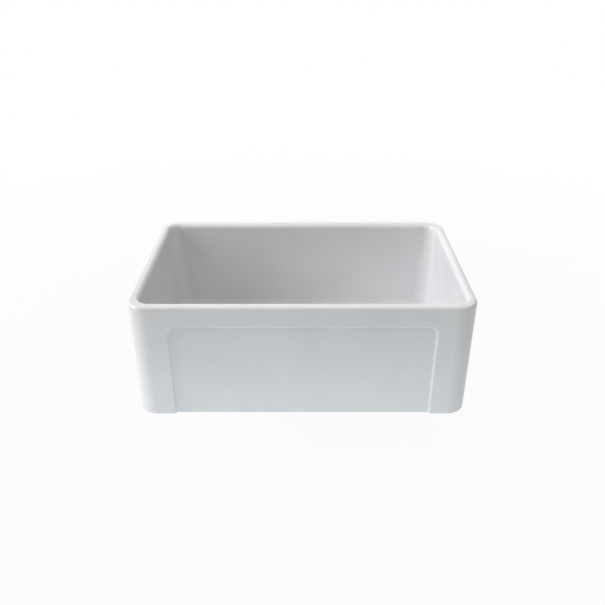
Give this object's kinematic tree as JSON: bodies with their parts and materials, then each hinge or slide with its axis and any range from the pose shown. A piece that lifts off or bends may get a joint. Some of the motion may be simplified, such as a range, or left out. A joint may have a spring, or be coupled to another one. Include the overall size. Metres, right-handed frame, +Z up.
{
  "type": "farmhouse sink",
  "caption": "Apron front kitchen sink: deep rectangular glazed fireclay bowl with a recessed front panel, fitted with a basket strainer drain, its lift-out basket and a tailpiece.",
  "frame": {"origin": "where the drain's axis meets the plane of the basin's base", "axes": "+Z up, +X to the right and +Y towards the wall as seen by someone standing at the sink; the apron faces -Y"},
  "size_m": [0.69, 0.457, 0.4032],
  "materials": {
    "fireclay_glaze": "gloss glaze",
    "stainless": "satin",
    "chrome_plate": "polished",
    "nut_metal": "as cast",
    "black_rubber": "matte",
    "putty": "matte",
    "fibre": "matte",
    "washer_plastic": "matte",
    "nylon": "smooth"
  },
  "bodies": {
    "basin": {"sink_basin": "fireclay_glaze", "flange_seal": "putty", "strainer_body": "stainless", "drain_gasket": "black_rubber", "friction_ring": "fibre", "lock_nut": "nut_metal", "tailpiece_washer": "washer_plastic", "coupling_nut": "chrome_plate", "tailpiece": "chrome_plate"},
    "stopper": {"stopper_seal": "black_rubber", "seal_plate": "stainless", "basket_post": "stainless", "basket_knob": "chrome_plate", "post_nut": "nut_metal", "snap_tip": "nylon"},
    "basket": {"basket_cup": "stainless"}
  },
  "joints": [
    {"name": "basket_lift", "type": "slide", "parent": "basin", "child": "stopper", "axis": [0, 0, 1], "range_m": [0, 0.072]},
    {"name": "basket_turn", "type": "hinge", "parent": "stopper", "child": "basket", "pos_m": [0, 0, 0], "axis": [0, 0, 1], "continuous": true}
  ]
}
